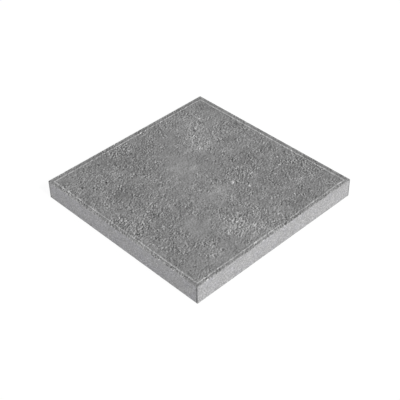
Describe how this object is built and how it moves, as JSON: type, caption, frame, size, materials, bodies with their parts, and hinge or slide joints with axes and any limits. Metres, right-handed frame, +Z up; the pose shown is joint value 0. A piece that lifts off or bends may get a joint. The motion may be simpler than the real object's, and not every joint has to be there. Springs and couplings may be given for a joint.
{
  "type": "paving slab",
  "caption": "Square grey concrete paving slab with a textured walking face, a shallow bevel all round it and plain upright sides.",
  "frame": {"origin": "middle of the underside, the face that beds on sand or mortar", "axes": "+Z up out of the walking face; X and Y along the sides"},
  "size_m": [0.4, 0.4, 0.04],
  "materials": {
    "concrete": "matt grey concrete, pitted and slightly riven on the walking face and smooth on the sides"
  },
  "bodies": {
    "root": {"paving_slab": "concrete"}
  },
  "joints": []
}
